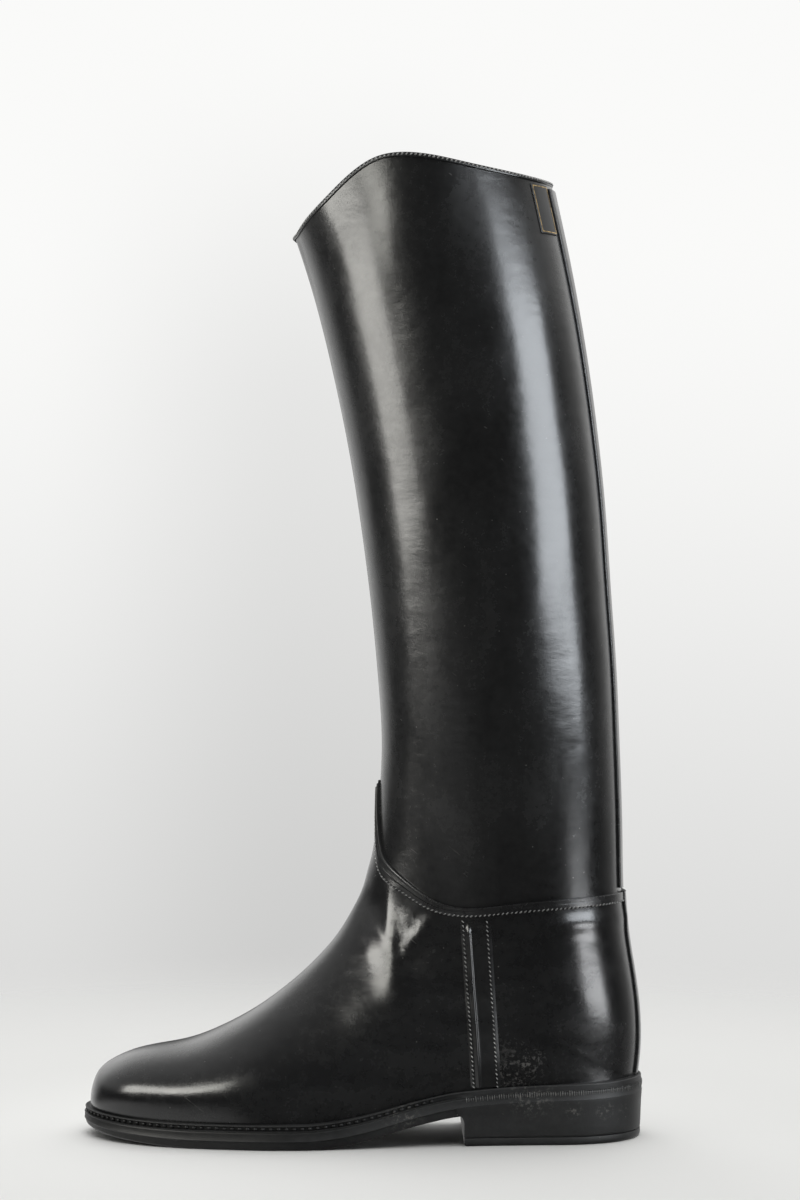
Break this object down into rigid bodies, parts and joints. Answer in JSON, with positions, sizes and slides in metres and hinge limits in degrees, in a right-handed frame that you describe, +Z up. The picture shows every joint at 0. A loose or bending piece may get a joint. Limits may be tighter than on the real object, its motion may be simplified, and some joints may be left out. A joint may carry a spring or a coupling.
{
  "type": "rubber riding boot",
  "caption": "Tall pull-on rubber riding boot for the left foot: hollow leg with a raised outer collar, ankle band with a front tab, side and back strips, welted sole and low block heel.",
  "frame": {"origin": "on the floor, under the middle of the boot's box", "axes": "+Z up the leg, -X towards the toe, +X towards the heel, -Y towards the outer side of the left leg"},
  "size_m": [0.2788, 0.1083, 0.4824],
  "materials": {
    "upper_rubber": "semi-gloss black rubber",
    "trim_rubber": "semi-gloss black rubber",
    "label_rubber": "satin black rubber with a thin gold line",
    "sole_rubber": "satin black rubber",
    "insole_cloth": "woven cloth"
  },
  "bodies": {
    "root": {"upper": "upper_rubber", "ankle_band": "trim_rubber", "side_strip_outer": "trim_rubber", "side_strip_inner": "trim_rubber", "back_strip_leg": "trim_rubber", "back_strip_heel": "trim_rubber", "collar_bead": "trim_rubber", "label_patch": "label_rubber", "welt": "sole_rubber", "outsole": "sole_rubber", "heel": "sole_rubber", "heel_lift": "sole_rubber", "insole": "insole_cloth"}
  },
  "joints": []
}
